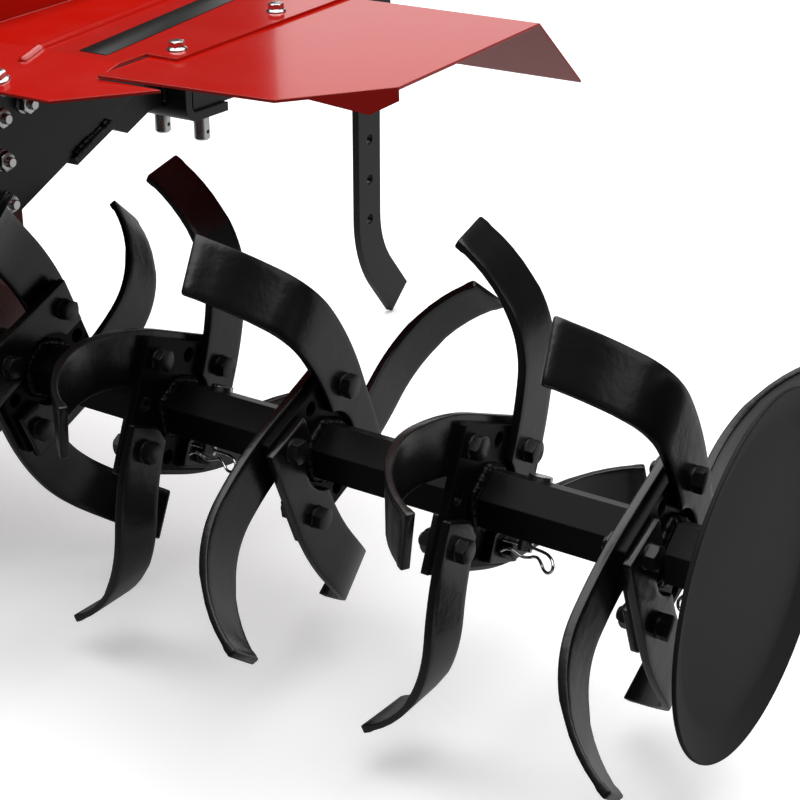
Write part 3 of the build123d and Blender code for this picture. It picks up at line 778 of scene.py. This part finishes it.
def buildFrameWelds(form, bead):
    rng = random.Random(33)
    bm = bmesh.new()
    for _, side in sides:
        for word in ("brace", "hitch"):
            start, end = (Vector((x, side * form[word + "Y"], z)) for x, z in form[word])
            shares = [step / form["steps"] for step in range(form["steps"] + 1)]
            path = [start.lerp(end, share) for share in shares]
            addWeld(bm, path, [Vector(form[word + "Normal"])] * len(path), bead, rng, False)
    makePiece(bm, "frame_welds", "weldBlack", "frame", 60)


buildTubeWelds(weldForm)
buildFrameWelds(seamForm, weldForm)
print("welds built")


# spring clips through the ends of the joint pins
clipForm = {
    "wire": 1.05 * mm, "wireFineness": 4, "lineFineness": 6, "holeFromAxle": 23.5 * mm, "leanStart": 6,
    # y, way the loop points, lean, share of the length
    "pins": ((288 * mm, 1, 0.25, 1.0), (548 * mm, 1, 0.7, 1.0), (678 * mm, -1, 0.0, 0.72)),
    # millimetres along the rotor from the hole, and away from the axle
    "line": (
        (-16, 0.3), (-6, 0), (4, 0), (11, -0.2), (17, -0.5), (23, 0.0), (28, 2.6), (29.5, 6.6),
        (26.5, 10.0), (21.5, 10.0), (17.5, 7.2), (13, 4.8), (8.5, 5.0), (4.5, 6.6), (0, 7.5),
        (-4.5, 6.5), (-9, 5.2), (-13, 5.6), (-16.5, 8.0),
    ),
}


def buildClips(form):
    for sideName, side in sides:
        curve = bpy.data.curves.new(f"pin_clips_{sideName}", "CURVE")
        curve.dimensions = "3D"
        curve.bevel_depth = form["wire"]
        curve.bevel_resolution = form["wireFineness"]
        curve.resolution_u = form["lineFineness"]
        curve.use_fill_caps = True
        for pinY, way, lean, share in form["pins"]:
            spline = curve.splines.new("BEZIER")
            spline.bezier_points.add(len(form["line"]) - 1)
            for point, (along, drop) in zip(spline.bezier_points, form["line"]):
                reach = form["holeFromAxle"] + drop * mm
                aside = lean * max(along - form["leanStart"], 0) * mm
                point.co = axlePoint(tubeTurn, -reach, aside, side * (pinY + way * share * along * mm))
                point.handle_left_type = "AUTO"
                point.handle_right_type = "AUTO"
        curve.materials.append(finish["clipWirePaintedBright"])
        clips = bpy.data.objects.new(f"pin_clips_{sideName}", curve)
        bpy.context.scene.collection.objects.link(clips)
        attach(clips, "rotor")


buildClips(clipForm)
print("pin clips built")


# zinc fasteners on the frame plates and the guards
frameBolt = {
    "flats": 14 * mm, "nutHeight": 6.5 * mm, "threadRadius": 4.2 * mm, "threadPast": 5 * mm,
    "washerRadius": 8.5 * mm, "washerThickness": 1.2 * mm, "washerBreak": 0.3 * mm, "face": 46 * mm,
    # x, height
    "spots": ((-47 * mm, -185 * mm), (-47 * mm, -151 * mm), (-47 * mm, -117 * mm), (-76 * mm, -112 * mm)),
}
guardBolt = {
    "flats": 10 * mm, "headHeight": 4.5 * mm, "nutHeight": 5 * mm, "threadRadius": 3 * mm,
    "threadPast": 2.5 * mm, "flangeRadius": 7.2 * mm, "flangeEdge": 0.6 * mm, "flangeBreak": 0.3 * mm,
    "flangeHeight": 1.0 * mm, "hexStart": 1.6 * mm, "skirtRadius": 5.3 * mm, "skirtHeight": 2.2 * mm,
    # x, y, thickness of the sheets it joins
    "spots": ((-18 * mm, 254 * mm, 4 * mm), (-134 * mm, 250 * mm, 4 * mm), (70 * mm, 175 * mm, 2 * mm)),
}


def buildFrameBolts(form):
    rng = random.Random(5)
    for sideName, side in sides:
        bm = bmesh.new()
        for x, height in form["spots"]:
            place = pointing((x, side * form["face"], height), (0, side, 0), rng.uniform(0, 60))
            thick = form["washerThickness"]
            addWasher(bm, place, form)
            addHexagon(bm, place, form["flats"], thick, form["nutHeight"], True)
            addThreadEnd(bm, place, form["threadRadius"], thick + form["nutHeight"], form["threadPast"])
        makePiece(bm, f"frame_nuts_{sideName}", "zincBright", "frame")


def buildGuardBolts(form):
    rng = random.Random(9)
    rim = form["flangeRadius"]
    start = form["hexStart"]
    skirt = [
        (rim, 0), (rim, form["flangeEdge"]), (rim - form["flangeBreak"], form["flangeHeight"]),
        (form["skirtRadius"], form["skirtHeight"]),
    ]
    for sideName, side in sides:
        bm = bmesh.new()
        for x, y, sheets in form["spots"]:
            top, normal = onGuard(x, side * y)
            up = pointing(top, normal, rng.uniform(0, 60))
            down = pointing(top - sheets * normal, -normal, rng.uniform(0, 60))
            addTurned(bm, up, skirt, roundPoints)
            addHexagon(bm, up, form["flats"], start, form["headHeight"])
            addTurned(bm, down, skirt, roundPoints)
            addHexagon(bm, down, form["flats"], start, form["nutHeight"])
            addThreadEnd(bm, down, form["threadRadius"], start + form["nutHeight"], form["threadPast"])
        makePiece(bm, f"guard_bolts_{sideName}", "zincBright", "frame")


buildFrameBolts(frameBolt)
buildGuardBolts(guardBolt)
print("zinc fasteners built")


# plain black strip stuck on each guard
stripForm = {
    "front": 17 * mm, "length": 172 * mm, "frontY": 197 * mm, "width": 25.5 * mm, "plan": 7.2,
    "thickness": 0.4 * mm, "corner": 2 * mm, "cornerSteps": 5,
    "levels": ((0, 0.0), (0, 0.7), (0.12 * mm, 1.0)),  # inset, share of the thickness
}


def buildStrip(form):
    corner = form["corner"]
    drift = math.tan(math.radians(form["plan"]))
    middleX = form["length"] / 2
    middleY = form["width"] / 2
    outline = []
    farX = form["length"] - corner
    farY = form["width"] - corner
    corners = ((corner, farY, 90), (corner, corner, 180), (farX, corner, 270), (farX, farY, 0))
    for along, wide, turn in corners:
        for step in range(form["cornerSteps"] + 1):
            a = math.radians(turn + 90 * step / form["cornerSteps"])
            outline.append((along + corner * math.cos(a), wide + corner * math.sin(a)))
    for sideName, side in sides:
        bm = bmesh.new()
        rings = []
        for inset, share in form["levels"]:
            ring = []
            for along, wide in outline:
                along = middleX + (along - middleX) * (1 - inset / middleX)
                wide = middleY + (wide - middleY) * (1 - inset / middleY)
                y = form["frontY"] + wide - along * drift
                spot, _ = onGuard(form["front"] - along, y, form["thickness"] * share)
                ring.append(Vector((spot.x, side * spot.y, spot.z)))
            rings.append(ring)
        addLoft(bm, rings)
        makePiece(bm, f"guard_strip_{sideName}", "stripBlack", "frame")


buildStrip(stripForm)
print("strips built")


# bolts round the rim of the gear case
rimBolt = {
    "flats": 13 * mm, "headHeight": 5.5 * mm, "nutHeight": 6.5 * mm, "threadRadius": 4 * mm,
    "threadPast": 2.5 * mm, "face": 8 * mm, "hubReach": 94 * mm,
    "hubTurns": (108, 144, 180, 216, 252), "neckX": 76 * mm,
    "neckHeights": (-215 * mm, -155 * mm, -95 * mm),
}


def buildRimBolts(form):
    rng = random.Random(3)
    spots = []
    for turn in form["hubTurns"]:
        spots.append(axlePoint(turn, form["hubReach"], 0, 0))
    for height in form["neckHeights"]:
        spots += [Vector((form["neckX"], 0, height)), Vector((-form["neckX"], 0, height))]
    bm = bmesh.new()
    for spot in spots:
        head = pointing((spot.x, form["face"], spot.z), (0, 1, 0), rng.uniform(0, 60))
        nut = pointing((spot.x, -form["face"], spot.z), (0, -1, 0), rng.uniform(0, 60))
        addHexagon(bm, head, form["flats"], 0, form["headHeight"])
        addHexagon(bm, nut, form["flats"], 0, form["nutHeight"], True)
        addThreadEnd(bm, nut, form["threadRadius"], form["nutHeight"], form["threadPast"])
    makePiece(bm, "case_rim_bolts", "zincBright", "frame")


buildRimBolts(rimBolt)
print("case bolts built")


# floor, lights and camera
floorForm = {
    "size": 30.0, "cells": 12, "gap": 0.002, "roughness": 0.9,
    "color": (0.95, 0.95, 0.95), "dimmer": 0.985, "hazeNoise": (3.0, 4.0, 0.5),
    # light sent back under and ahead of the machine, and metres ahead where it changes
    "bounce": (0.45, 0.45, 0.45), "frontBounce": (0.09, 0.09, 0.09), "frontReach": (-0.05, 0.45),
    # glow near and far, and metres out where it changes
    "glow": (0.3, 0.3, 0.3), "farGlow": (1.0, 1.0, 1.0), "glowReach": (1.3, 4.0),
}


def buildFloor(form):
    bm = bmesh.new()
    half = form["size"] / 2
    level = cadBox[0].z - form["gap"]
    cells = form["cells"]
    lines = [-half + form["size"] * step / cells for step in range(cells + 1)]
    grid = [[bm.verts.new((x, y, level)) for x in lines] for y in lines]
    for near, far in zip(grid, grid[1:]):
        for column in range(cells):
            bm.faces.new((near[column], near[column + 1], far[column + 1], far[column]))
    mesh = bpy.data.meshes.new("pale_floor")
    bm.to_mesh(mesh)
    bm.free()
    material, tree, shader = startMaterial("paleFloor")
    haze = noise(tree, *form["hazeNoise"])
    dim = tuple(form["dimmer"] * part for part in form["color"])
    path = tree.nodes.new("ShaderNodeLightPath")
    seen = blend(tree, haze, dim, form["color"])
    place = tree.nodes.new("ShaderNodeTexCoord")
    split = tree.nodes.new("ShaderNodeSeparateXYZ")
    tree.links.new(place.outputs["Object"], split.inputs[0])
    ahead = ramp(tree, split.outputs["X"], *form["frontReach"])
    bounce = blend(tree, ahead, form["bounce"], form["frontBounce"])
    tree.links.new(blend(tree, path.outputs["Is Camera Ray"], bounce, seen), shader.inputs["Base Color"])
    distance = tree.nodes.new("ShaderNodeVectorMath")
    distance.operation = "LENGTH"
    tree.links.new(place.outputs["Object"], distance.inputs[0])
    away = ramp(tree, distance.outputs["Value"], *form["glowReach"])
    glow = blend(tree, away, form["glow"], form["farGlow"])
    glow = blend(tree, path.outputs["Is Camera Ray"], (0.0, 0.0, 0.0), glow)
    tree.links.new(glow, shader.inputs["Emission Color"])
    shader.inputs["Emission Strength"].default_value = 1.0
    shader.inputs["Roughness"].default_value = form["roughness"]
    shader.inputs["Specular IOR Level"].default_value = 0.0
    mesh.materials.append(material)
    floor = bpy.data.objects.new("pale_floor", mesh)
    bpy.context.scene.collection.objects.link(floor)


def addSoftBox(name, spot, target, size, power):
    lamp = bpy.data.lights.new(name, "AREA")
    lamp.shape = "RECTANGLE"
    lamp.size, lamp.size_y = size
    lamp.energy = power
    box = bpy.data.objects.new(name, lamp)
    box.location = spot
    box.rotation_euler = (Vector(target) - Vector(spot)).to_track_quat("-Z", "Y").to_euler()
    bpy.context.scene.collection.objects.link(box)


softBoxes = {
    # spot, target, size, power
    "overhead": ((-0.6, -0.2, 4.2), (-0.6, -0.2, 0.0), (7.0, 7.0), 440.0),
    "behind": ((-2.45, -1.0, 0.55), (0.0, 0.4, -0.1), (0.9, 0.9), 2.3),
    "rightSide": ((-1.0, 2.9, 1.0), (0.0, 0.4, -0.2), (1.8, 1.4), 8.0),
}
# light that the world gives, and what shows of it behind the floor
worldForm = {"color": (0.035, 0.035, 0.035), "seen": (1.0, 1.0, 1.0)}
cameraForm = {
    "spot": (0.8876, 1.0299, 0.2383), "target": (0.0, 0.4455, -0.2378), "sensor": 36.0,
    "focalPixels": 1768.6, "imagePixels": 800,
}


def buildLight():
    for name, (spot, target, size, power) in softBoxes.items():
        addSoftBox(name, spot, target, size, power)
    world = bpy.data.worlds.new("studio")
    world.use_nodes = True
    tree = world.node_tree
    path = tree.nodes.new("ShaderNodeLightPath")
    sky = blend(tree, path.outputs["Is Camera Ray"], worldForm["color"], worldForm["seen"])
    tree.links.new(sky, tree.nodes["Background"].inputs["Color"])
    bpy.context.scene.world = world
    bpy.context.scene.view_settings.view_transform = "Standard"


def buildCamera(form):
    data = bpy.data.cameras.new("photo_view")
    data.sensor_width = form["sensor"]
    data.lens = form["sensor"] * form["focalPixels"] / form["imagePixels"]
    camera = bpy.data.objects.new("photo_view", data)
    spot = Vector(form["spot"])
    camera.location = spot
    camera.rotation_euler = (Vector(form["target"]) - spot).to_track_quat("-Z", "Y").to_euler()
    bpy.context.scene.collection.objects.link(camera)
    bpy.context.scene.camera = camera


buildFloor(floorForm)
buildLight()
buildCamera(cameraForm)
print("floor, light and camera set")
